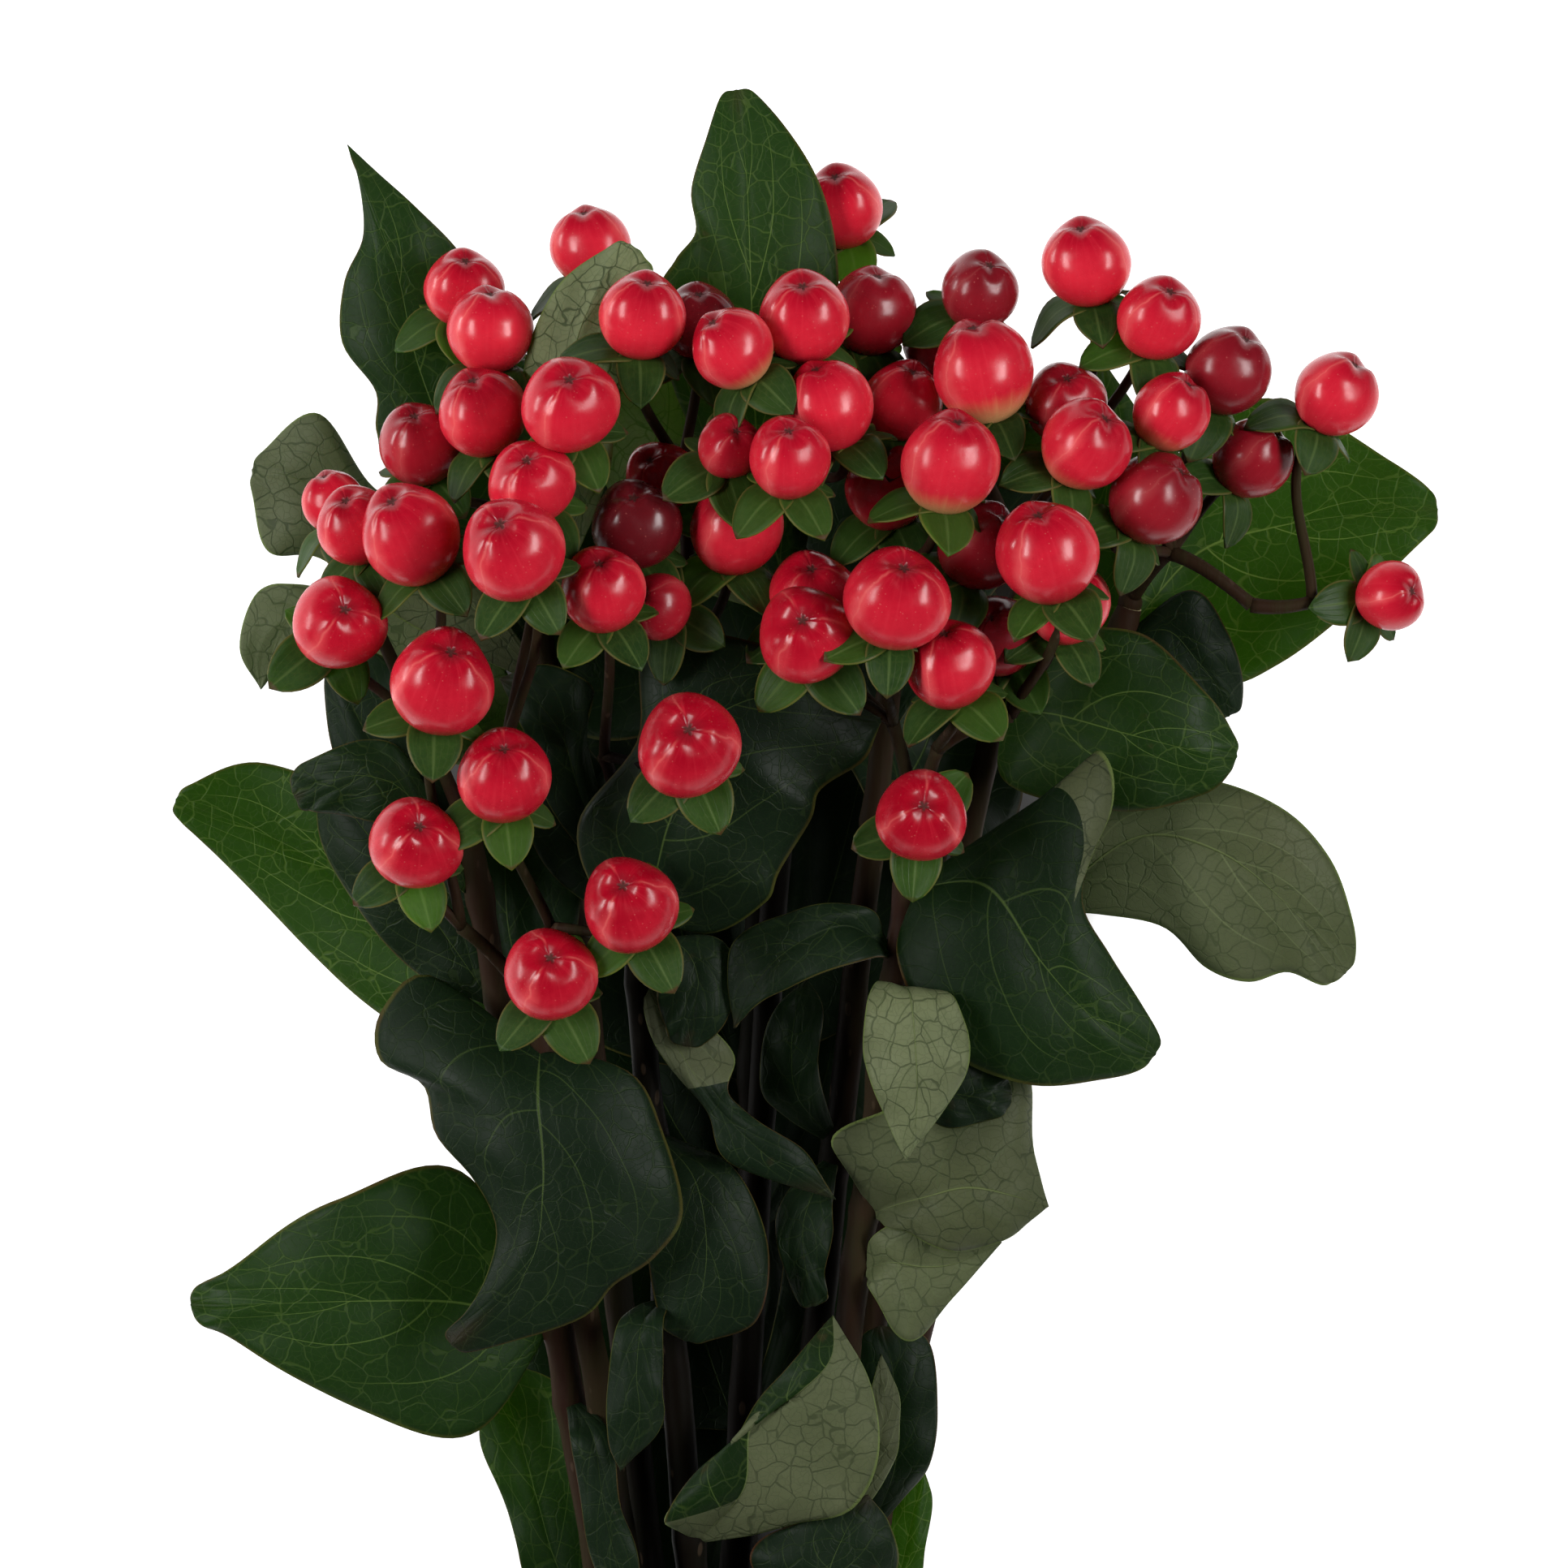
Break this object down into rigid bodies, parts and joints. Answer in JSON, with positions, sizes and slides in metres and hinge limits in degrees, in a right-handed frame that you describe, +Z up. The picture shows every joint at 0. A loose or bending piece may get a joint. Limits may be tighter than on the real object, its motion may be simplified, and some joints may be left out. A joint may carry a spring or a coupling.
{
  "type": "hypericum berry bunch",
  "caption": "Tied bunch of hypericum stems lying down: glossy red berries on leafy sepals, with dark, bright and pale veined leaves on thin woody stems.",
  "frame": {"origin": "middle of the flat underside of the tie, on the surface the bunch lies on", "axes": "+X to the right across the bunch seen from above, +Y from the cut ends along the stems to the tip, +Z up from the surface"},
  "size_m": [0.1561, 0.4001, 0.0878],
  "materials": {
    "bark": "smooth thin bark",
    "berry": "waxy gloss",
    "leaf_dark": "waxy satin with pale veins",
    "leaf_bright": "waxy satin with pale veins",
    "leaf_underside": "matt with raised dark net of veins",
    "tie": "matt"
  },
  "bodies": {
    "root": {"stem_far_right": "bark", "stem_upper_right": "bark", "stem_centre_right": "bark", "stem_lower_right": "bark", "stem_top_centre": "bark", "stem_centre": "bark", "stem_upper_left": "bark", "stem_left": "bark", "stem_lower_left": "bark", "stem_back": "bark", "spray_far_right": "berry", "spray_upper_right": "berry", "spray_centre_right": "berry", "spray_lower_right": "berry", "spray_top_centre": "berry", "spray_centre": "berry", "spray_upper_left": "berry", "spray_left": "berry", "spray_lower_left": "berry", "spray_back": "berry", "leaf_top_tall": "leaf_dark", "leaf_top_left": "leaf_dark", "leaf_pale_upper_left": "leaf_underside", "leaf_pale_behind_centre": "leaf_underside", "leaf_pale_far_left": "leaf_underside", "leaf_small_far_left": "leaf_underside", "leaf_left_low": "leaf_bright", "leaf_left_broad": "leaf_dark", "leaf_left_folded": "leaf_dark", "leaf_left_shaded": "leaf_dark", "leaf_centre_large": "leaf_dark", "leaf_centre_left_upper": "leaf_dark", "leaf_centre_left_lower": "leaf_dark", "leaf_centre_low": "leaf_dark", "leaf_centre_twisted": "leaf_dark", "leaf_right_upper": "leaf_bright", "leaf_right_shaded": "leaf_dark", "leaf_far_right_large": "leaf_bright", "leaf_lower_right_large": "leaf_bright", "leaf_pale_far_right": "leaf_underside", "leaf_curled_tip": "leaf_underside", "leaf_arched_over": "leaf_dark", "leaf_pale_lower_right": "leaf_underside", "leaf_lower_left_large": "leaf_dark", "leaf_low_left_large": "leaf_bright", "leaf_centre_dark": "leaf_dark", "leaf_centre_curled": "leaf_dark", "leaf_bottom_left": "leaf_bright", "leaf_narrow_folded": "leaf_dark", "leaf_bottom_pale": "leaf_underside", "leaf_bottom_shaded": "leaf_dark", "leaf_bottom_front": "leaf_dark", "leaf_behind_upper_right": "leaf_dark", "leaf_behind_centre": "leaf_dark", "leaf_behind_right": "leaf_dark", "leaf_back_left": "leaf_dark", "leaf_back_right": "leaf_dark", "leaf_back_low_left": "leaf_dark", "leaf_back_low_right": "leaf_dark", "tie": "tie"}
  },
  "joints": []
}
